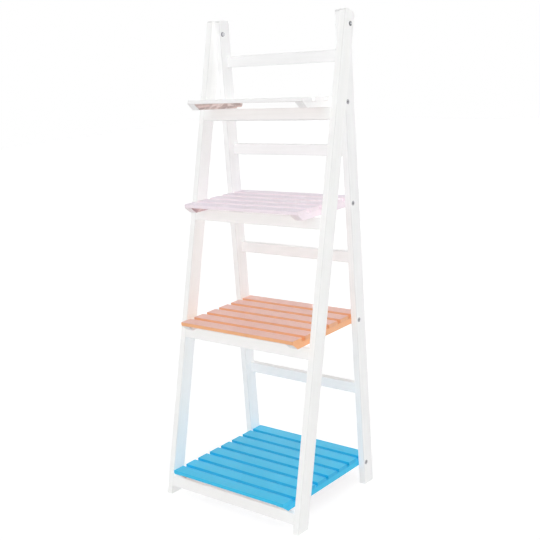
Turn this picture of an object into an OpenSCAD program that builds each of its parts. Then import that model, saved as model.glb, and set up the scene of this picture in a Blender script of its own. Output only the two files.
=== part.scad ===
// Folding four tier plant stand of painted wood.
// A leaning front frame and an upright rear frame turn on two bolts near their tops.
// Four slatted shelves turn on screws in the rear legs and rest on the front rails.
// Sizes are in millimetres. X is the width, -Y is the front, Z is up from the floor.

/* [Stand] */
// Width over the outer faces of the front legs
stand_w = 398; // [360:1:440]
// Height of the bolts that join the two frames
pivot_h = 1058; // [1050:1:1090]
// Thickness of the spacer washer between a front leg and a rear leg
frame_gap = 0.5; // [0.3:0.1:3]

/* [Legs] */
// Thickness of a front leg along X
front_leg_t = 16; // [14:0.5:20]
// Width of a front leg seen from the side
front_leg_w = 35; // [32:0.5:38]
// Distance from a front leg's front face to its pivot hole
front_leg_hole = 22; // [19:0.5:24]
// Length of a front leg above its pivot hole
front_leg_top = 29; // [24:0.5:34]
// Radius of the front corner at a front leg's top
front_top_front_r = 6; // [2:0.5:8]
// Radius of the rear corner at a front leg's top
front_top_rear_r = 18; // [8:0.5:20]
// Thickness of a rear leg along X
rear_leg_t = 16; // [14:0.5:20]
// Width of a rear leg seen from the side
rear_leg_w = 34; // [31:0.5:37]
// Distance from a rear leg's front face to its pivot holes
rear_leg_hole = 9; // [8:0.5:11]
// Length of a rear leg above the bolt
rear_leg_top = 31; // [24:0.5:36]
// Radius of the corners at a rear leg's top
rear_top_r = 7; // [2:0.5:8]
// Radius of the eased long edges of the legs
leg_ease = 1.5; // [0.5:0.1:2.5]

/* [Rails] */
// Height of every rail
rail_h = 25.5; // [21:0.5:28]
// Thickness of a front rail
front_rail_t = 16; // [14:0.5:16]
// Thickness of a rear rail
rear_rail_t = 16; // [14:0.5:16]
// Distance from the frame bolts down to the top edge of the highest rear rail
rear_rail_1_down = 52; // [46:0.5:60]
// Height of the top edge of the second rear rail as a ratio of the bolts' height
rear_rail_2_height_ratio = 0.7562; // [0.74:0.0001:0.775]
// Height of the top edge of the third rear rail as a ratio of the bolts' height
rear_rail_3_height_ratio = 0.5269; // [0.51:0.0001:0.545]
// Height of the top edge of the lowest rear rail as a ratio of the bolts' height
rear_rail_4_height_ratio = 0.2297; // [0.215:0.0001:0.25]
// Radius of the eased long edges of the rails
rail_ease = 1.2; // [0.4:0.1:2]

/* [Shelves] */
// Depth of shelf 1, the highest, from front edge to back edge
shelf_1_d = 166.7; // [162:0.1:170]
// Depth of shelf 2
shelf_2_d = 205.8; // [200:0.1:212]
// Depth of shelf 3
shelf_3_d = 251; // [246:0.1:258]
// Depth of shelf 4, the lowest
shelf_4_d = 320; // [308:0.1:326]
// Number of slats in shelf 1
shelf_1_n = 4; // [3:1:4]
// Number of slats in shelf 2
shelf_2_n = 5; // [4:1:5]
// Number of slats in shelf 3
shelf_3_n = 6; // [5:1:6]
// Number of slats in shelf 4
shelf_4_n = 8; // [7:1:8]
// Height of the screws that shelf 1 turns on as a ratio of the bolts' height
shelf_1_height_ratio = 0.8454; // [0.84:0.0001:0.85]
// Height of the screws that shelf 2 turns on as a ratio of the bolts' height
shelf_2_height_ratio = 0.6354; // [0.628:0.0001:0.643]
// Height of the screws that shelf 3 turns on as a ratio of the bolts' height
shelf_3_height_ratio = 0.381; // [0.374:0.0001:0.388]
// Height of the screws that shelf 4 turns on as a ratio of the bolts' height
shelf_4_height_ratio = 0.0504; // [0.048:0.0001:0.056]
// Angle by which the front of shelf 1 stands above level
shelf_1_tilt = 3.6; // [0:0.1:4]
// Angle by which the front of shelf 2 stands above level
shelf_2_tilt = -0.6; // [-1:0.1:1]
// Angle by which the front of shelf 3 stands above level
shelf_3_tilt = -1; // [-1.5:0.1:1]
// Angle by which the front of shelf 4 stands above level
shelf_4_tilt = 0; // [-0.5:0.1:0.5]
// Distance from shelf 4's front edge back to the front faces of the front legs, at the
// height of that shelf's screws. The lean of the front frame follows from it.
shelf_4_over = 16; // [12:0.5:18]
// Length of every shelf behind the screws that it turns on
shelf_back = 28; // [26:0.5:31]
// Width of a slat, along the depth of the shelf
slat_w = 32; // [30:0.5:35]
// Thickness of a slat
slat_t = 8.5; // [7:0.1:9.5]
// Radius of the eased long edges of a slat
slat_ease = 1.8; // [0.5:0.1:2.8]
// Height of a side runner
runner_h = 13.5; // [12.5:0.1:15]
// Thickness of a side runner along X
runner_t = 20.5; // [16:0.5:22]
// Height of the screw above the underside of a runner
runner_hole = 9.5; // [8:0.1:10]
// Run of the sloping cut at the front end of a runner
runner_nose = 16; // [12:0.5:20]
// Height by which a runner's underside is cut away behind the screw
heel_lift = 3; // [1:0.1:4]
// Radius of the rear lower corner of a runner
heel_r = 7; // [4:0.5:9]
// Radius of the eased long edges of a runner
runner_ease = 1; // [0.4:0.1:1.5]

/* [Frame bolts] */
// Diameter of a frame bolt
bolt_d = 5; // [4.5:0.1:6]
// Diameter of the domed head of a frame bolt
bolt_head_d = 10.3; // [9.5:0.1:13]
// Height of the domed head
bolt_head_h = 2.6; // [2.2:0.1:4]
// Width of the hexagon socket across its flats
bolt_socket = 3; // [2.5:0.1:4]
// Depth of the hexagon socket
bolt_socket_depth = 1.5; // [1:0.1:1.8]
// Diameter of the washers on a frame bolt
bolt_washer_d = 10.5; // [10.5:0.5:14]
// Thickness of the washer under the nut
nut_washer_t = 0.8; // [0.6:0.1:1.5]
// Width of the nut across its flats
nut_w = 8; // [7.5:0.1:8.8]
// Height of the nut
nut_h = 2.7; // [2.2:0.1:5]
// Length of the bolt that stands out of the nut
bolt_proud = 0.5; // [0.3:0.1:2]

/* [Shelf screws] */
// Diameter of the smooth shank of a shelf screw
screw_d = 5; // [4:0.1:6]
// Diameter of the countersunk head
screw_head_d = 10.5; // [9:0.1:11]
// Depth of the screw in the runner
screw_grip = 13; // [9:0.5:13]
// Width of the cross recess in the head
screw_slot_w = 1.2; // [0.8:0.1:1.5]
// Length of each arm of the cross recess from tip to tip
screw_slot_l = 4.6; // [3:0.1:5]
// Depth of the cross recess
screw_slot_depth = 1.4; // [0.8:0.1:1.8]
// Thickness of the washer between a rear leg and a runner
shelf_washer_t = 1; // [0.5:0.1:2]
// Diameter of the washer between a rear leg and a runner
shelf_washer_d = 11; // [9:0.5:13]

/* [Dowels] */
// Diameter of the dowels that join the rails to the legs
dowel_d = 6; // [5:0.5:7]
// Distance between the two dowels at a rail's end
dowel_pitch = 12; // [10:0.5:13]
// Depth of a dowel in a leg
dowel_leg = 9; // [7:0.5:11]
// Depth of a dowel in a rail
dowel_rail = 15; // [10:0.5:20]

/* [Fits] */
// Clearance around a bolt, screw or dowel in its hole
pin_fit = 0.05; // [0.02:0.01:0.1]
// Clearance beyond the end of a dowel or screw in its hole
end_fit = 0.3; // [0.1:0.1:1]
// Clearance between a runner's underside and the rail that carries it
seat_fit = 0.08; // [0.03:0.01:0.2]

/* [Hidden] */
$fn = 48;

// Colours of the paint, the bare wood and the metal
white_paint = [0.95, 0.95, 0.94];
blue_paint = [0.42, 0.72, 0.86];
orange_paint = [0.95, 0.62, 0.40];
lilac_paint = [0.86, 0.74, 0.84];
bare_wood = [0.62, 0.42, 0.28];
dark_steel = [0.16, 0.16, 0.17];
bright_steel = [0.66, 0.66, 0.68];
slat_paint = [white_paint, lilac_paint, orange_paint, blue_paint];

shelf_d = [shelf_1_d, shelf_2_d, shelf_3_d, shelf_4_d];
shelf_n = [shelf_1_n, shelf_2_n, shelf_3_n, shelf_4_n];
shelf_z = pivot_h * [shelf_1_height_ratio, shelf_2_height_ratio, shelf_3_height_ratio, shelf_4_height_ratio];
shelf_tilt = [shelf_1_tilt, shelf_2_tilt, shelf_3_tilt, shelf_4_tilt];
rear_rail_z = [pivot_h - rear_rail_1_down, pivot_h * rear_rail_2_height_ratio,
    pivot_h * rear_rail_3_height_ratio, pivot_h * rear_rail_4_height_ratio];

// Angle of the front frame from upright with the stand open
lean_reach = shelf_4_d - shelf_back - shelf_4_over;
lean_drop = pivot_h - shelf_z[3];
front_lean = acos(front_leg_hole / norm([lean_reach, lean_drop])) - atan2(lean_drop, lean_reach);

// Planes across the width, as distances from the middle
front_out = stand_w / 2;
front_in = front_out - front_leg_t;
rear_out = front_in - frame_gap;
rear_in = rear_out - rear_leg_t;
shelf_half = rear_in - shelf_washer_t;

// Faces of the legs and rails seen from the side, with the pivot line at y = 0
front_leg_back = front_leg_w - front_leg_hole;
rear_leg_back = rear_leg_w - rear_leg_hole;
front_rail_y = front_rail_t / 2 - front_leg_hole;
rear_rail_y = rear_leg_back - rear_rail_t / 2;

// Heights in a shelf, measured from the screw that it turns on
runner_bottom = -runner_hole;
runner_top = runner_h - runner_hole;
shelf_top = runner_top + slat_t;

// Distance along the front leg from the bolt down to the top of the rail under a shelf.
// The eased edge of the rail touches the underside of the runner but for the seat clearance.
function rail_s(i) =
    let (t = shelf_tilt[i], a = front_lean)
    (runner_hole + rail_ease + seat_fit + (pivot_h - shelf_z[i]) * cos(t)
        + (front_leg_hole - rail_ease) * sin(a - t)) / cos(a - t) - rail_ease;

function shelf_front(i) = shelf_d[i] - shelf_back;
function slat_pitch(i) = (shelf_d[i] - slat_w) / (shelf_n[i] - 1);

// The reach of the stand to the front and to the back of the pivot line
function slat_reach(y, i, z) =
    (y - slat_ease) * cos(shelf_tilt[i]) + z * sin(shelf_tilt[i]) + slat_ease;
slat_mid_low = runner_top + slat_ease;
slat_mid_high = shelf_top - slat_ease;
back_reach = max([rear_leg_back, for (i = [0:3]) each [
    slat_reach(shelf_back, i, slat_mid_low), slat_reach(shelf_back, i, slat_mid_high)]]);
foot_reach = pivot_h * tan(front_lean) + front_leg_hole / cos(front_lean);
front_reach = max([foot_reach, for (i = [0:3]) each [
    slat_reach(shelf_front(i), i, -slat_mid_low), slat_reach(shelf_front(i), i, -slat_mid_high)]]);
pivot_y = (front_reach - back_reach) / 2;

// Height of the front leg along its own length, from below the floor to the top
front_leg_low = pivot_h / cos(front_lean) + front_leg_w;

nut_face = rear_in - nut_washer_t;
screw_sink = (screw_head_d - screw_d) / 2;
far = 2 * pivot_h;

// Places a piece that is drawn with the frame bolt at its origin on the front frame
module on_front_frame() {
    translate([0, pivot_y, pivot_h]) rotate([-front_lean, 0, 0]) children();
}

// Places a piece that is drawn with the shelf screw at its origin on shelf i
module on_shelf(i) {
    translate([0, pivot_y, shelf_z[i]]) rotate([-shelf_tilt[i], 0, 0]) children();
}

// Rectangle with eased corners, centred
module eased_rect(w, h, r) {
    square([w - 2 * r, h], center = true);
    square([w, h - 2 * r], center = true);
    for (sx = [-1, 1]) for (sy = [-1, 1])
        translate([sx * (w / 2 - r), sy * (h / 2 - r)]) circle(r = r);
}

// Board along X with eased long edges, centred
module board_x(l, w, h, r) {
    rotate([90, 0, 90]) linear_extrude(height = l, center = true) eased_rect(w, h, r);
}

// Round hole or rod along X from x0 to x1
module rod_x(x0, x1, r) {
    translate([x0, 0, 0]) rotate([0, 90, 0]) cylinder(r = r, h = x1 - x0);
}

// Copies a piece to the left side as a mirror image
module both_sides() {
    children();
    mirror([1, 0, 0]) children();
}

// What is cut off a square corner at (0, 0) to round it. The stock lies at x < 0, y < 0.
module corner_waste(r) {
    translate([-r, -r]) difference() {
        square(r + 1);
        circle(r = r);
    }
}

// The same waste as a bar along X, with the corner at y, z and its sides toward ys
module corner_bar(y, z, r, ys, t) {
    translate([0, y, z]) scale([1, ys, 1])
        rotate([90, 0, 90]) linear_extrude(height = t + 2, center = true) corner_waste(r);
}

// Places the two dowels of a joint at the rail's end face, along +X
module at_dowels() {
    for (s = [-1, 1]) translate([0, 0, s * dowel_pitch / 2]) children();
}

// Right leg of the front frame
module front_leg_right() {
    mid_y = front_leg_w / 2 - front_leg_hole;
    mid_x = (front_in + front_out) / 2;
    color(white_paint) difference() {
        on_front_frame() difference() {
            translate([mid_x, mid_y, -front_leg_low])
                linear_extrude(height = front_leg_low + front_leg_top)
                    eased_rect(front_leg_t, front_leg_w, leg_ease);
            translate([mid_x, 0, 0]) {
                corner_bar(-front_leg_hole, front_leg_top, front_top_front_r, -1, front_leg_t);
                corner_bar(front_leg_back, front_leg_top, front_top_rear_r, 1, front_leg_t);
            }
            rod_x(front_in - 1, front_out + 1, bolt_d / 2 + pin_fit);
            for (i = [0:3]) translate([0, front_rail_y, -rail_s(i) - rail_h / 2])
                at_dowels() rod_x(front_in - 1, front_in + dowel_leg + end_fit, dowel_d / 2 + pin_fit);
        }
        translate([-far / 2, -far / 2, -far]) cube(far);
    }
}

module front_leg_left() {
    mirror([1, 0, 0]) front_leg_right();
}

// Rail i of the front frame, flush with the front faces of the legs
module front_rail(i) {
    color(white_paint) on_front_frame() translate([0, front_rail_y, -rail_s(i) - rail_h / 2])
        difference() {
            board_x(2 * front_in, front_rail_t, rail_h, rail_ease);
            both_sides() at_dowels()
                rod_x(front_in - dowel_rail - end_fit, front_in + 1, dowel_d / 2 + pin_fit);
        }
}

// All dowels of the front frame
module front_dowels() {
    color(bare_wood) on_front_frame() for (i = [0:3])
        translate([0, front_rail_y, -rail_s(i) - rail_h / 2])
            both_sides() at_dowels() rod_x(front_in - dowel_rail, front_in + dowel_leg, dowel_d / 2);
}

// Right leg of the rear frame, upright, with countersunk holes for the shelf screws
module rear_leg_right() {
    mid_x = (rear_in + rear_out) / 2;
    color(white_paint) translate([0, pivot_y, 0]) difference() {
        translate([mid_x, rear_leg_w / 2 - rear_leg_hole, 0])
            linear_extrude(height = pivot_h + rear_leg_top)
                eased_rect(rear_leg_t, rear_leg_w, leg_ease);
        translate([mid_x, 0, pivot_h + rear_leg_top]) {
            corner_bar(-rear_leg_hole, 0, rear_top_r, -1, rear_leg_t);
            corner_bar(rear_leg_back, 0, rear_top_r, 1, rear_leg_t);
        }
        translate([0, 0, pivot_h]) rod_x(rear_in - 1, rear_out + 1, bolt_d / 2 + pin_fit);
        for (i = [0:3]) translate([0, 0, shelf_z[i]]) {
            rod_x(rear_in - 1, rear_out + 1, screw_d / 2 + pin_fit);
            screw_cone(pin_fit, 1);
        }
        for (i = [0:3]) translate([0, rear_rail_y, rear_rail_z[i] - rail_h / 2])
            at_dowels() rod_x(rear_in - 1, rear_in + dowel_leg + end_fit, dowel_d / 2 + pin_fit);
    }
}

module rear_leg_left() {
    mirror([1, 0, 0]) rear_leg_right();
}

// Rail i of the rear frame, flush with the rear faces of the legs
module rear_rail(i) {
    color(white_paint) translate([0, pivot_y + rear_rail_y, rear_rail_z[i] - rail_h / 2])
        difference() {
            board_x(2 * rear_in, rear_rail_t, rail_h, rail_ease);
            both_sides() at_dowels()
                rod_x(rear_in - dowel_rail - end_fit, rear_in + 1, dowel_d / 2 + pin_fit);
        }
}

// All dowels of the rear frame
module rear_dowels() {
    color(bare_wood) for (i = [0:3])
        translate([0, pivot_y + rear_rail_y, rear_rail_z[i] - rail_h / 2])
            both_sides() at_dowels() rod_x(rear_in - dowel_rail, rear_in + dowel_leg, dowel_d / 2);
}

// Countersunk cone of a shelf screw, grown by g all round, with its wide end at the
// outer face of the rear leg and carried on past it by the length over
module screw_cone(g, over) {
    r0 = screw_d / 2;
    r1 = screw_head_d / 2;
    translate([rear_out - screw_sink, 0, 0]) rotate([0, 90, 0]) rotate_extrude()
        polygon([[0, -g], [r0 + g, 0], [r1 + g, screw_sink], [r1 + g, screw_sink + over],
            [0, screw_sink + over]]);
}

// Domed socket bolts through both frames, with their heads on the front legs
module frame_bolts() {
    r = bolt_d / 2;
    hr = bolt_head_d / 2;
    rim = bolt_head_h * 0.25;
    dome = bolt_head_h - rim;
    ball = (hr * hr + dome * dome) / (2 * dome);
    color(dark_steel) translate([0, pivot_y, pivot_h]) both_sides() {
        difference() {
            union() {
                rod_x(nut_face - nut_h - bolt_proud, front_out + rim / 2, r);
                translate([front_out, 0, 0]) rotate([0, 90, 0]) rotate_extrude() intersection() {
                    translate([0, bolt_head_h - ball]) circle(r = ball, $fn = 96);
                    square([hr, bolt_head_h]);
                }
            }
            translate([front_out + bolt_head_h - bolt_socket_depth, 0, 0]) rotate([0, 90, 0])
                cylinder(d = bolt_socket / cos(30), h = bolt_socket_depth + 1, $fn = 6);
        }
    }
}

// Spacer washers between the front legs and the rear legs
module frame_spacers() {
    color(bright_steel) translate([0, pivot_y, pivot_h]) both_sides() difference() {
        rod_x(rear_out, front_in, bolt_washer_d / 2);
        rod_x(rear_out - 1, front_in + 1, bolt_d / 2 + pin_fit);
    }
}

// Washers under the nuts, on the inner faces of the rear legs
module frame_nut_washers() {
    color(dark_steel) translate([0, pivot_y, pivot_h]) both_sides() difference() {
        rod_x(nut_face, rear_in, bolt_washer_d / 2);
        rod_x(nut_face - 1, rear_in + 1, bolt_d / 2 + pin_fit);
    }
}

// Hexagon nuts with chamfered corners on their outer side
module frame_nuts() {
    corner = nut_w / cos(30) / 2;
    bevel = corner - nut_w / 2;
    color(dark_steel) translate([nut_face - nut_h, pivot_y, pivot_h]) pair_nuts()
        rotate([0, 90, 0]) difference() {
            intersection() {
                cylinder(r = corner, h = nut_h, $fn = 6);
                rotate_extrude() polygon([[0, 0], [corner - bevel, 0], [corner, bevel],
                    [corner + 1, bevel], [corner + 1, nut_h], [0, nut_h]]);
            }
            translate([0, 0, -1]) cylinder(r = bolt_d / 2 + pin_fit, h = nut_h + 2);
        }
}

// Copies a nut drawn at the right face to the left side
module pair_nuts() {
    children();
    translate([-2 * (nut_face - nut_h), 0, 0]) mirror([1, 0, 0]) children();
}

// Countersunk shelf screws with a cross recess, two for each shelf
module shelf_screws() {
    tip = shelf_half - screw_grip;
    color(bright_steel) for (i = [0:3]) translate([0, pivot_y, shelf_z[i]]) both_sides()
        difference() {
            union() {
                rod_x(tip, rear_out - screw_sink / 2, screw_d / 2);
                screw_cone(0, 0);
            }
            for (a = [45, 135]) rotate([a, 0, 0])
                translate([rear_out - screw_slot_depth, -screw_slot_l / 2, -screw_slot_w / 2])
                    cube([screw_slot_depth + 1, screw_slot_l, screw_slot_w]);
        }
}

// Washers that keep the shelves clear of the rear legs
module shelf_washers() {
    color(bright_steel) for (i = [0:3]) translate([0, pivot_y, shelf_z[i]]) both_sides()
        difference() {
            rod_x(shelf_half, rear_in, shelf_washer_d / 2);
            rod_x(shelf_half - 1, rear_in + 1, screw_d / 2 + pin_fit);
        }
}

// Side view of a runner: a sloping nose at the front and a rounded, cut away heel
module runner_profile(i) {
    nose = -shelf_front(i);
    heel = runner_bottom + heel_lift;
    difference() {
        polygon([[nose, runner_top], [nose + runner_nose, runner_bottom], [rear_ramp(0), runner_bottom],
            [rear_ramp(1), heel], [shelf_back, heel], [shelf_back, runner_top]]);
        translate([shelf_back, heel]) mirror([0, 1]) corner_waste(heel_r);
    }
}

// Start and end of the ramp that leads up to the cut away heel
function rear_ramp(end) = screw_d + end * heel_lift;

// Right runner of shelf i
module runner_right(i) {
    mid_x = shelf_half - runner_t / 2;
    long = 2 * shelf_d[i];
    color(slat_paint[i]) on_shelf(i) difference() {
        intersection() {
            translate([mid_x - runner_t, 0, 0]) rotate([90, 0, 90])
                linear_extrude(height = 2 * runner_t) runner_profile(i);
            translate([mid_x, long / 2, (runner_top + runner_bottom) / 2]) rotate([90, 0, 0])
                linear_extrude(height = long) eased_rect(runner_t, runner_h, runner_ease);
        }
        rod_x(shelf_half - screw_grip - end_fit, shelf_half + 1, screw_d / 2 + pin_fit);
    }
}

module runner_left(i) {
    mirror([1, 0, 0]) runner_right(i);
}

// Slat k of shelf i, counted from the front
module slat(i, k) {
    if (k <= shelf_n[i]) color(slat_paint[i]) on_shelf(i)
        translate([0, -shelf_front(i) + slat_w / 2 + (k - 1) * slat_pitch(i), runner_top + slat_t / 2])
            board_x(2 * shelf_half, slat_w, slat_t, slat_ease);
}

front_leg_left();
front_leg_right();
front_rail(0);  // front_rail_1
front_rail(1);  // front_rail_2
front_rail(2);  // front_rail_3
front_rail(3);  // front_rail_4
front_dowels();
rear_leg_left();
rear_leg_right();
rear_rail(0);  // rear_rail_1
rear_rail(1);  // rear_rail_2
rear_rail(2);  // rear_rail_3
rear_rail(3);  // rear_rail_4
rear_dowels();
frame_bolts();
frame_spacers();
frame_nut_washers();
frame_nuts();
shelf_screws();
shelf_washers();
runner_left(0);  // shelf_1_runner_left
runner_right(0);  // shelf_1_runner_right
slat(0, 1);  // shelf_1_slat_1
slat(0, 2);  // shelf_1_slat_2
slat(0, 3);  // shelf_1_slat_3
slat(0, 4);  // shelf_1_slat_4
runner_left(1);  // shelf_2_runner_left
runner_right(1);  // shelf_2_runner_right
slat(1, 1);  // shelf_2_slat_1
slat(1, 2);  // shelf_2_slat_2
slat(1, 3);  // shelf_2_slat_3
slat(1, 4);  // shelf_2_slat_4
slat(1, 5);  // shelf_2_slat_5
runner_left(2);  // shelf_3_runner_left
runner_right(2);  // shelf_3_runner_right
slat(2, 1);  // shelf_3_slat_1
slat(2, 2);  // shelf_3_slat_2
slat(2, 3);  // shelf_3_slat_3
slat(2, 4);  // shelf_3_slat_4
slat(2, 5);  // shelf_3_slat_5
slat(2, 6);  // shelf_3_slat_6
runner_left(3);  // shelf_4_runner_left
runner_right(3);  // shelf_4_runner_right
slat(3, 1);  // shelf_4_slat_1
slat(3, 2);  // shelf_4_slat_2
slat(3, 3);  // shelf_4_slat_3
slat(3, 4);  // shelf_4_slat_4
slat(3, 5);  // shelf_4_slat_5
slat(3, 6);  // shelf_4_slat_6
slat(3, 7);  // shelf_4_slat_7
slat(3, 8);  // shelf_4_slat_8
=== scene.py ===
import math

import bpy
from mathutils import Matrix, Vector

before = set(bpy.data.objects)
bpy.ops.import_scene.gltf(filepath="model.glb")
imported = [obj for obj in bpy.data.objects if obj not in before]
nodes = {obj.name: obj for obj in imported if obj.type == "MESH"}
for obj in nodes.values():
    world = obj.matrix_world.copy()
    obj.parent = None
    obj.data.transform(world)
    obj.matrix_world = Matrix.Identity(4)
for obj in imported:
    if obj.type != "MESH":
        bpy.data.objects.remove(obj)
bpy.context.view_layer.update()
scene = bpy.context.scene

# Line of the frame bolts, in metres, and lean of the front legs, in degrees
PIVOT_Y = 0.13169
PIVOT_Z = 1.058
FRONT_LEAN = 14.15

# Frame bolts, in metres: where the heads' colour begins, inside the legs, and the painted
# highlight in the heads' middle
HEAD_STARTS, HEAD_FULL = 0.190, 0.195
HIGHLIGHT_R, RING_R = 0.0016, 0.0032

# Cross recess of the shelf screws, in metres from the middle of the stand
RECESS_MOUTH = (0.1824, 0.1821)
RECESS_FLOOR = (0.1805, 0.1809)

# Camera of the photograph: degrees, pixels and metres
CAM_TURN = 40.37
CAM_RISE = 13.03
CAM_ROLL = -4.11
CAM_FOCAL_PX = 961.37
CAM_DISTANCE = 2.3311
CAM_TARGET = Vector((-0.07243, PIVOT_Y, 0.49589))
CAM_SENSOR = 36
CAM_NEAR, CAM_FAR = 0.05, 60
IMAGE_PX = 540

# Patterns in the wood, and bands of painted light on bare wood: repeats for each metre along
# and across the grain
FIBRE = (9, 520)
FIGURE = (1.7, 26)
KNOTS = (3.4, 17)
RUNNER_LIGHT_BANDS = (30, 44)
SLAT_LIGHT_BANDS = (5, 44)

# The same in all directions: mottle of the wood, worn patches, clouds on the steel
EVEN = (1, 1, 1)
MOTTLE = 34
PATCHES = 95
CLOUDS = 420

# Level scratches on the steel
SCRATCHES = (900, 900, 5200)

# Shifts that keep the patterns from lining up
FIGURE_SHIFT = (3.1, 1.7, 5.3)
KNOT_SHIFT = (0.7, 2.3, 1.9)
BAND_SHIFT = (1.3, 0.4, 2.2)

# Growth rings, in radians over the figure's whole range
RINGS = 46

# How much fibres, figure, mottle and knots lighten or darken the paint
FIBRE_SHOWS = 0.050
FIGURE_SHOWS = -0.012
MOTTLE_SHOWS = 0.030
KNOTS_SHOW = -0.045

# Bare wood: how dark rings, streaks and stains are, how far the bands of painted light stay
# from white, and how much of each shows
RING_TONE, RINGS_SHOW = 0.72, 0.55
STREAK_TONE, STREAKS_SHOW = 0.62, 0.40
STAIN_TONE, STAINS_SHOW = 0.55, 0.45
LIGHT_BAND_TONE, LIGHT_BANDS_SHOW = 0.55, 0.8
BARE_KNOTS_SHOW = 0.8

# Part of a face's normal along an axis: where it starts to count as facing that way, and
# where it counts in full
UPWARD = (0.55, 0.95)
DOWNWARD = (-0.80, -0.93)
SIDEWARD = (0.80, 0.93)
NOSEWARD = (-0.35, -0.5)
BETWEEN = (0.93, 0.82)

# Bump: strength, and depth in metres
PAINT_BUMP = (0.20, 0.00012)
WOOD_BUMP = (0.4, 0.0003)
STEEL_BUMP = (0.25, 0.00008)

# Rounding of the edges in the finishes, in metres
BOARD_EDGE = 0.0008
STEEL_EDGE = 0.0007

# Worn edges: colour of the wood that shows, and how much of it
WEAR = (214, 196, 178)
WEAR_SHOWS = 0.35

# Roughness of paint, bare wood and steel, and what fibres, mottle and clouds add to it
PAINT_ROUGH = 0.32
WOOD_ROUGH = 0.6
STEEL_ROUGH = 0.32
SCREW_ROUGH = 0.36
FIBRE_ROUGH = 0.08
MOTTLE_ROUGH = 0.10
WOOD_FIBRE_ROUGH = 0.15
CLOUD_ROUGH = 0.22
CLOUD_START = 0.1

# How much rougher bare wood and the noses are than other paint
BARE_ROUGHER = 0.25

# Painted shade on the rounded edges of legs, rails and shelves, which damps their highlight
EDGE_SHADE_LEG = 0.18
EDGE_SHADE_RAIL = 0.12
EDGE_SHADE_SHELF = 0.05

# Stains and bands of painted light on the bare wood: full on the runners, calmer on the
# slats
RUNNER_CONTRAST = 1.0
SLAT_CONTRAST = 0.35

# Paints and bare wood of the frame, as 0 to 255 values. The rear legs and rear rails have a
# greyer white: painted shade for the light they lose behind the front of the stand
WHITE = (244, 244, 243)
WHITE_REAR_LEG_PAINTED_SHADE = (240, 240, 240)
WHITE_REAR_RAIL_PAINTED_SHADE = (238, 238, 238)
DOWEL = (198, 160, 118)
KNOT = (92, 58, 40)
PINE = (224, 202, 196)
ROSY_PINE = (216, 184, 188)

# Paints of the shelves, from the highest to the lowest. edge is on the front edges and the
# runners; the colour between the slats is darker paint, painted shade in the gaps; the
# colour of the upper faces, which differs from the edge paint, is painted sheen and shade;
# nose is on the sloping front ends, and bare is the wood inside and under the runners.
SHELVES = (
    {
        "name": "shelf_1_white",
        "edge": (244, 243, 243),
        "gap_painted_shade": (244, 243, 243),
        "top": (240, 240, 240),
        "nose": (250, 249, 248),
        "bare": PINE,
        "gloss": 0.3,
    },
    {
        "name": "shelf_2_lilac",
        "edge": (241, 229, 236),
        "gap_painted_shade": (238, 226, 233),
        "top": (226, 215, 226),
        "nose": (247, 240, 243),
        "bare": ROSY_PINE,
        "gloss": 0.35,
    },
    {
        "name": "shelf_3_orange",
        "edge": (235, 170, 118),
        "gap_painted_shade": (226, 162, 117),
        "top": (231, 178, 164),
        "nose": (236, 232, 230),
        "bare": PINE,
        "gloss": 0.7,
    },
    {
        "name": "shelf_4_blue",
        "edge": (34, 186, 230),
        "gap_painted_shade": (0, 171, 221),
        "top": (0, 195, 241),
        "nose": (230, 234, 238),
        "bare": PINE,
        "gloss": 0.45,
    },
)

# Floor: how much light it sends back, what it adds where it is seen, and its half width
FLOOR_GREY = 0.62
FLOOR_ADDS = 0.53
FLOOR_HALF = 9.0

# Light from all round: its strength behind and in front, and where it changes along Y
WORLD_BACK, WORLD_FRONT = 0.32, 0.36
WORLD_FROM, WORLD_TO = 0.2, -1.0

# Lamps: name, direction towards the lamp, energy, angle in degrees, shadows
LAMPS = (
    ("front_fill", (0.1, -1.0, 0.35), 0.76, 90, False),
    ("front_key", (0.0, -1.0, 0.2), 0.72, 70, True),
    ("low_fill", (0.15, -1.0, -0.7), 0.26, 50, False),
    ("right_fill", (1.0, -0.1, 0.1), 0.50, 80, False),
    ("right_key", (1.0, 0.15, 0.1), 0.46, 12, True),
    ("left_fill", (-1.0, 0.1, 0.0), 0.92, 60, False),
    ("back_fill", (0.1, 1.0, 0.0), 1.12, 60, False),
    ("top_light", (0.2, 0.1, 1.0), 0.70, 60, True),
    ("back_sheen", (-0.65, 0.76, 0.12), 0.14, 36, False),
)

# Distance of the lamps, in metres, which changes nothing in their light
LAMP_DISTANCE = 2.5


def linear(rgb):
    """A colour written as 0 to 255 values, as the linear values that nodes use."""
    def one(v):
        v /= 255
        return v / 12.92 if v <= 0.04045 else ((v + 0.055) / 1.055) ** 2.4
    return (*[one(v) for v in rgb], 1.0)


def darker(rgb, keep):
    """The colour with each value times keep."""
    return tuple(v * keep for v in rgb)


def paler(rgb, keep):
    """The colour with its distance from white times keep."""
    return tuple(255 - (255 - v) * keep for v in rgb)


def stretched(axis, repeats):
    """Scale of a pattern drawn out along one axis of the board."""
    along, across = repeats
    return tuple(along if letter == axis else across for letter in "XYZ")


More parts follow.
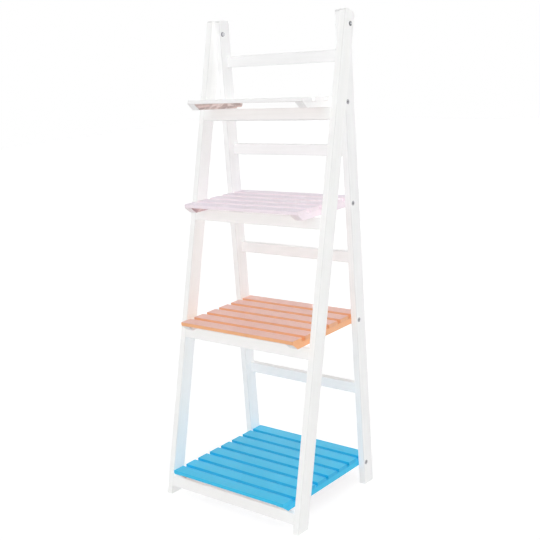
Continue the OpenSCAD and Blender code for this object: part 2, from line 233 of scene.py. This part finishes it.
class Nodes:
    """Short ways to add and join the nodes of a finish or of the world."""

    def __init__(self, tree):
        self.tree = tree
        tree.nodes.clear()

    def new(self, kind):
        return self.tree.nodes.new("ShaderNode" + kind)

    def put(self, socket, value):
        if isinstance(value, bpy.types.NodeSocket):
            self.tree.links.new(value, socket)
        else:
            socket.default_value = value

    def add(self, kind, **inputs):
        node = self.new(kind)
        for name, value in inputs.items():
            self.put(node.inputs[name.replace("_", " ")], value)
        return node

    def math(self, operation, *values):
        node = self.new("Math")
        node.operation = operation
        for socket, value in zip(node.inputs, values):
            self.put(socket, value)
        return node.outputs[0]

    def times(self, a, b):
        return self.math("MULTIPLY", a, b)

    def times_plus(self, a, b, c):
        return self.math("MULTIPLY_ADD", a, b, c)

    def smooth(self, value, low, high, to_low=0.0, to_high=1.0):
        node = self.new("MapRange")
        node.interpolation_type = "SMOOTHSTEP"
        for socket, v in zip(node.inputs, (value, low, high, to_low, to_high)):
            self.put(socket, v)
        return node.outputs[0]

    def mix(self, factor, a, b, blend="MIX"):
        """Mix of two colours."""
        node = self.new("Mix")
        node.data_type = "RGBA"
        node.blend_type = blend
        node.clamp_factor = True
        for index, value in ((0, factor), (6, a), (7, b)):
            self.put(node.inputs[index], value)
        return node.outputs[2]

    def mix_numbers(self, factor, a, b):
        node = self.new("Mix")
        node.data_type = "FLOAT"
        for index, value in ((0, factor), (2, a), (3, b)):
            self.put(node.inputs[index], value)
        return node.outputs[0]

    def bump(self, strength_and_depth, height, normal=None):
        strength, depth = strength_and_depth
        node = self.add("Bump", Strength=strength, Distance=depth, Height=height)
        if normal:
            self.put(node.inputs["Normal"], normal)
        return node.outputs[0]

    def dimmed(self, colour, amount):
        """The colour times one number."""
        grey = self.add("CombineColor", Red=amount, Green=amount, Blue=amount).outputs[0]
        return self.mix(1.0, colour, grey, "MULTIPLY")

    def coords(self, scale, turn=0.0, shift=(0.0, 0.0, 0.0)):
        """Object coordinates, turned about X by turn degrees, then scaled and shifted."""
        place = self.add("TexCoord").outputs["Object"]
        if turn:
            rotate = self.new("VectorRotate")
            rotate.rotation_type = "X_AXIS"
            self.put(rotate.inputs["Vector"], place)
            rotate.inputs["Angle"].default_value = math.radians(turn)
            place = rotate.outputs[0]
        node = self.new("VectorMath")
        node.operation = "MULTIPLY_ADD"
        for socket, value in zip(node.inputs, (place, scale, shift)):
            self.put(socket, value)
        return node.outputs[0]

    def noise(self, vector, scale=1.0, detail=3.0, rough=0.55, warp=0.0):
        node = self.add("TexNoise", Vector=vector, Scale=scale, Detail=detail,
                        Roughness=rough, Distortion=warp)
        return node.outputs[0]

    def seen(self):
        """1 for what the camera sees, directly, in gloss or through glass."""
        path = self.add("LightPath").outputs
        mirrored = self.math("MAXIMUM", path["Is Glossy Ray"], path["Is Transmission Ray"])
        return self.math("MAXIMUM", path["Is Camera Ray"], mirrored)


class Finish(Nodes):
    """A material with one shader."""

    def __init__(self, name):
        self.mat = bpy.data.materials.new(name)
        self.mat.use_nodes = True
        super().__init__(self.mat.node_tree)
        self.shader = self.new("BsdfPrincipled")
        out = self.new("OutputMaterial")
        self.put(out.inputs["Surface"], self.shader.outputs[0])

    def set(self, name, value):
        self.put(self.shader.inputs[name], value)


def wood_layers(t, axis, turn=0.0):
    """Fibre, growth figure, mottle and knots of a board whose grain runs along axis."""
    fibre = t.noise(t.coords(stretched(axis, FIBRE), turn), detail=4, rough=0.62)
    band_place = t.coords(stretched(axis, FIGURE), turn, FIGURE_SHIFT)
    band = t.noise(band_place, detail=2, rough=0.5, warp=0.25)
    figure = t.smooth(t.math("SINE", t.times(band, RINGS)), -0.2, 1.0)
    mottle = t.noise(t.coords(EVEN, turn), scale=MOTTLE, detail=3)
    knot_place = t.coords(stretched(axis, KNOTS), turn, KNOT_SHIFT)
    cells = t.add("TexVoronoi", Vector=knot_place, Scale=1.0, Randomness=1.0)
    pick = t.add("SeparateColor", Color=cells.outputs["Color"]).outputs[0]
    near = t.smooth(cells.outputs["Distance"], 0.16, 0.03)
    knot = t.times(near, t.smooth(pick, 0.72, 0.74))
    return fibre, figure, mottle, knot


def painted_light_bands(t, axis, repeats, turn=0.0):
    """Broad pale bands that slant across a bare board: painted light, like light that falls
    through the gaps between the slats.
    """
    place = t.coords(stretched(axis, repeats), turn, BAND_SHIFT)
    return t.smooth(t.noise(place, detail=2, rough=0.45, warp=0.8), 0.46, 0.60)


def bare_wood(t, layers, tone, bands, contrast=1.0):
    """Colour of unpainted wood from its layers. contrast is for the mottle and the bands of
    painted light.
    """
    fibre, figure, mottle, knot = layers
    rings = t.times(figure, RINGS_SHOW)
    colour = t.mix(rings, linear(tone), linear(darker(tone, RING_TONE)))
    streaks = t.smooth(fibre, 0.35, 0.75, 0.0, STREAKS_SHOW)
    colour = t.mix(streaks, colour, linear(darker(tone, STREAK_TONE)))
    stains = t.smooth(mottle, 0.55, 0.75, 0.0, STAINS_SHOW * contrast)
    colour = t.mix(stains, colour, linear(darker(tone, STAIN_TONE)))
    pale = t.times(bands, LIGHT_BANDS_SHOW * contrast)
    colour = t.mix(pale, colour, linear(paler(tone, LIGHT_BAND_TONE)))
    return t.mix(t.times(knot, BARE_KNOTS_SHOW), colour, linear(KNOT))


def edge_mask(t, radius):
    """1 along the edges and 0 on the faces, and the normal with its edges rounded."""
    bevel = t.new("Bevel")
    bevel.samples = 6
    bevel.inputs["Radius"].default_value = radius
    node = t.new("VectorMath")
    node.operation = "DOT_PRODUCT"
    t.put(node.inputs[0], bevel.outputs[0])
    t.put(node.inputs[1], t.add("NewGeometry").outputs["Normal"])
    return t.smooth(node.outputs["Value"], 0.995, 0.80), bevel.outputs[0]


def painted_board(name, axis, paint, top=None, bare=None, nose=None, turn=0.0,
                  bare_side=0, gloss=0.5, edge_shade=EDGE_SHADE_SHELF):
    """Painted board. top is the colour of the upper face, which holds painted sheen and
    shade.
    bare leaves the underside, and the side towards bare_side, without paint. nose is the
    colour of the sloping front end, and eased tells how much darker the rounded edges are:
    painted shade there."""
    t = Finish(name)
    layers = wood_layers(t, axis, turn)
    fibre, figure, mottle, knot = layers
    normal = t.add("SeparateXYZ", Vector=t.add("TexCoord").outputs["Normal"])
    nx, ny, nz = normal.outputs[:3]
    colour = linear(paint)
    # Upper faces in their own colour: painted sheen and shade
    if top:
        colour = t.mix(t.smooth(nz, *UPWARD), colour, linear(top))

    # Brush marks, fibres that show through, and a knot here and there
    shade = t.times_plus(fibre, FIBRE_SHOWS, 1 - FIBRE_SHOWS / 2)
    shade = t.times_plus(figure, FIGURE_SHOWS, shade)
    shade = t.times_plus(mottle, MOTTLE_SHOWS, t.math("SUBTRACT", shade, MOTTLE_SHOWS / 2))
    shade = t.times_plus(knot, KNOTS_SHOW, shade)
    colour = t.dimmed(colour, shade)

    # Painted shade on the rounded edges, which face between two axes; it damps their
    # highlight
    ax, ay, az = (t.math("ABSOLUTE", part) for part in (nx, ny, nz))
    flat = t.math("MAXIMUM", ax, t.math("MAXIMUM", ay, az))
    colour = t.dimmed(colour, t.times_plus(t.smooth(flat, *BETWEEN), -edge_shade, 1.0))

    # Wear along the edges, in patches
    edge, rounded = edge_mask(t, BOARD_EDGE)
    patches = t.noise(t.coords(EVEN), scale=PATCHES, detail=4, rough=0.7)
    worn = t.times(edge, t.smooth(patches, 0.52, 0.70))
    colour = t.mix(t.times(worn, WEAR_SHOWS), colour, linear(WEAR))

    smoothest = PAINT_ROUGH - (FIBRE_ROUGH + MOTTLE_ROUGH) / 2
    roughness = t.times_plus(fibre, FIBRE_ROUGH, smoothest)
    roughness = t.times_plus(mottle, MOTTLE_ROUGH, roughness)
    height = t.math("ADD", t.times(fibre, 0.7), t.times(figure, 0.3))
    height = t.times_plus(knot, -0.5, height)
    if nose:
        slope = t.times(t.smooth(ny, *NOSEWARD), t.smooth(nz, *NOSEWARD))
        pale = t.mix(t.times(fibre, 0.5), linear(nose), linear(darker(nose, 0.9)))
        colour = t.mix(slope, colour, pale)
        roughness = t.times_plus(slope, BARE_ROUGHER, roughness)
    if bare:
        unpainted = t.smooth(nz, *DOWNWARD)
        if bare_side:
            inward = t.smooth(t.times(nx, bare_side), *SIDEWARD)
            unpainted = t.math("MAXIMUM", unpainted, inward)
        bands = painted_light_bands(t, axis, RUNNER_LIGHT_BANDS if bare_side else SLAT_LIGHT_BANDS, turn)
        contrast = RUNNER_CONTRAST if bare_side else SLAT_CONTRAST
        colour = t.mix(unpainted, colour, bare_wood(t, layers, bare, bands, contrast))
        roughness = t.times_plus(unpainted, BARE_ROUGHER, roughness)

    t.set("Base Color", colour)
    t.set("Roughness", roughness)
    t.set("Normal", t.bump(PAINT_BUMP, height, rounded))
    t.set("Specular IOR Level", gloss)
    return t.mat


def bare_board(name, axis, tone):
    """Unpainted board or dowel."""
    t = Finish(name)
    layers = wood_layers(t, axis)
    fibre = layers[0]
    t.set("Base Color", bare_wood(t, layers, tone, painted_light_bands(t, axis, RUNNER_LIGHT_BANDS)))
    t.set("Roughness", t.times_plus(fibre, WOOD_FIBRE_ROUGH, WOOD_ROUGH))
    t.set("Normal", t.bump(WOOD_BUMP, fibre))
    return t.mat


def metal(name, bright, dull, rim, rough=STEEL_ROUGH, head=None, recess=None):
    """Plated steel with fine scratches, darker along its edges. head is the colour of the
    heads outside the legs, round a painted highlight in their middle, and recess is painted
    shade inside the cross of a screw's head."""
    t = Finish(name)
    cloud = t.noise(t.coords(EVEN), scale=CLOUDS, detail=4, rough=0.65)
    scratches = t.noise(t.coords(SCRATCHES), detail=2)
    edge, rounded = edge_mask(t, STEEL_EDGE)
    clouded = t.smooth(cloud, 0.35, 0.7)
    tone = t.mix(clouded, linear(bright), linear(dull))
    place = t.add("SeparateXYZ", Vector=t.add("TexCoord").outputs["Object"])
    x, y, z = place.outputs[:3]
    across = t.math("ABSOLUTE", x)
    # Dark heads outside the legs, with a painted highlight in their middle
    if head:
        outside = t.smooth(across, HEAD_STARTS, HEAD_FULL)
        dy = t.math("SUBTRACT", y, PIVOT_Y)
        dz = t.math("SUBTRACT", z, PIVOT_Z)
        radius = t.math("SQRT", t.times_plus(dy, dy, t.times(dz, dz)))
        ring = t.times(outside, t.smooth(radius, HIGHLIGHT_R, RING_R))
        dark_head = t.mix(clouded, linear(head), linear(darker(head, 0.7)))
        tone = t.mix(ring, tone, dark_head)
    tone = t.mix(t.times(edge, 0.7), tone, linear(rim))
    # Painted shade inside the cross recess of the screws
    if recess:
        sunk = t.times(t.smooth(across, *RECESS_MOUTH), t.smooth(across, *RECESS_FLOOR))
        tone = t.mix(sunk, tone, linear(recess))
    t.set("Base Color", tone)
    t.set("Metallic", 1.0)
    t.set("Roughness", t.times_plus(cloud, CLOUD_ROUGH, rough - CLOUD_START))
    t.set("Normal", t.bump(STEEL_BUMP, scratches, rounded))
    return t.mat


def dress(start, material):
    """Gives the material to every node whose name begins with start."""
    for node, piece in nodes.items():
        if node.startswith(start):
            piece.data.materials.clear()
            piece.data.materials.append(material)


# Frame: legs, rails and dowels
dress("front_leg", painted_board(
    "white_paint_leaning", "Z", WHITE, turn=FRONT_LEAN, edge_shade=EDGE_SHADE_LEG))
# Rear legs and rear rails in a greyer white: painted shade
dress("rear_leg", painted_board(
    "white_paint_upright_painted_shade", "Z", WHITE_REAR_LEG_PAINTED_SHADE, edge_shade=EDGE_SHADE_LEG))
dress("front_rail", painted_board("white_paint_rail", "X", WHITE, edge_shade=EDGE_SHADE_RAIL))
dress("rear_rail", painted_board(
    "white_paint_back_rail_painted_shade", "X", WHITE_REAR_RAIL_PAINTED_SHADE, edge_shade=EDGE_SHADE_RAIL))
dowel_wood = bare_board("dowel_beech", "X", DOWEL)
dress("front_dowels", dowel_wood)
dress("rear_dowels", dowel_wood)

# Steel: bolts, washers under the nuts, nuts, then screws and the hidden washers
dress("frame_bolts", metal(
    "bolt_steel", bright=(232, 232, 234), dull=(205, 205, 208), rim=(120, 120, 124),
    head=(104, 104, 108)))
# Washers under the nuts in dark steel: painted shade round the nuts
dress("frame_nut_washers", metal(
    "washer_steel_painted_shade", bright=(124, 124, 128), dull=(96, 96, 100), rim=(60, 60, 64)))
dress("frame_nuts", metal(
    "nut_steel", bright=(214, 214, 217), dull=(188, 188, 191), rim=(104, 104, 108)))
# Screws with painted shade in their cross recess
screw_steel = metal(
    "screw_steel", bright=(186, 186, 189), dull=(146, 146, 150), rim=(54, 54, 58),
    rough=SCREW_ROUGH, recess=(34, 34, 37))
dress("frame_spacers", screw_steel)
dress("shelf_screws", screw_steel)
dress("shelf_washers", screw_steel)

# Shelves: the front slat shows its edge colour, the others the darker colour of the gaps,
# painted shade between the slats
for number, shelf in enumerate(SHELVES, 1):
    name, gloss = shelf["name"], shelf["gloss"]
    dress(f"shelf_{number}_slat", painted_board(
        name + "_slat", "X", shelf["gap_painted_shade"], top=shelf["top"], bare=PINE, gloss=gloss))
    dress(f"shelf_{number}_slat_1", painted_board(
        name + "_first_slat", "X", shelf["edge"], top=shelf["top"], bare=PINE, gloss=gloss))
    for side, inner in (("left", 1), ("right", -1)):
        dress(f"shelf_{number}_runner_{side}", painted_board(
            f"{name}_runner_{side}", "Y", shelf["edge"], bare=shelf["bare"],
            nose=shelf["nose"], bare_side=inner, gloss=gloss))

# Floor, which stays white to the camera except in the stand's own shadow
far = FLOOR_HALF
corners = [(-far, -far, 0), (far, -far, 0), (far, far, 0), (-far, far, 0)]
mesh = bpy.data.meshes.new("floor")
mesh.from_pydata(corners, [], [(0, 1, 2, 3)])
floor = bpy.data.objects.new("floor", mesh)
scene.collection.objects.link(floor)
t = Finish("floor_pale")
t.set("Base Color", (FLOOR_GREY, FLOOR_GREY, FLOOR_GREY, 1))
t.set("Roughness", 1.0)
t.set("Specular IOR Level", 0.0)
t.set("Emission Color", (1, 1, 1, 1))
t.set("Emission Strength", t.times(t.seen(), FLOOR_ADDS))
mesh.materials.append(t.mat)

# World: even white light, a little more of it from the front, and a white background
world = bpy.data.worlds.new("studio")
scene.world = world
world.use_nodes = True
t = Nodes(world.node_tree)
where = t.add("SeparateXYZ", Vector=t.add("TexCoord").outputs["Generated"])
level = t.smooth(where.outputs["Y"], WORLD_FROM, WORLD_TO, WORLD_BACK, WORLD_FRONT)
strength = t.mix_numbers(t.seen(), level, 1.0)
sky = t.add("Background", Color=(1, 1, 1, 1), Strength=strength)
t.put(t.new("OutputWorld").inputs["Surface"], sky.outputs[0])

# Lamps. Those without shadows are sampled as lamps only, so that they light evenly.
for name, toward, energy, angle, shadow in LAMPS:
    data = bpy.data.lights.new(name, "SUN")
    data.energy = energy
    data.angle = math.radians(angle)
    data.use_shadow = shadow
    data.cycles.use_multiple_importance_sampling = shadow
    lamp = bpy.data.objects.new(name, data)
    lamp.rotation_euler = Vector(toward).to_track_quat("Z", "Y").to_euler()
    lamp.location = Vector(toward) * LAMP_DISTANCE
    scene.collection.objects.link(lamp)

# Camera: its view direction, then its right and up directions with the roll
a, e, r = (math.radians(v) for v in (CAM_TURN, CAM_RISE, CAM_ROLL))
ahead = Vector((-math.sin(a) * math.cos(e), math.cos(a) * math.cos(e), -math.sin(e)))
level_right = Vector((math.cos(a), math.sin(a), 0))
level_up = level_right.cross(ahead)
right = math.cos(r) * level_right + math.sin(r) * level_up
up = -math.sin(r) * level_right + math.cos(r) * level_up
turn = Matrix((right, up, -ahead)).transposed().to_4x4()
optics = bpy.data.cameras.new("camera")
optics.sensor_width = CAM_SENSOR
optics.sensor_fit = "HORIZONTAL"
optics.lens = CAM_FOCAL_PX * CAM_SENSOR / IMAGE_PX
optics.clip_start = CAM_NEAR
optics.clip_end = CAM_FAR
camera = bpy.data.objects.new("camera", optics)
camera.matrix_world = Matrix.Translation(CAM_TARGET - CAM_DISTANCE * ahead) @ turn
scene.collection.objects.link(camera)
scene.camera = camera

scene.view_settings.view_transform = "Standard"
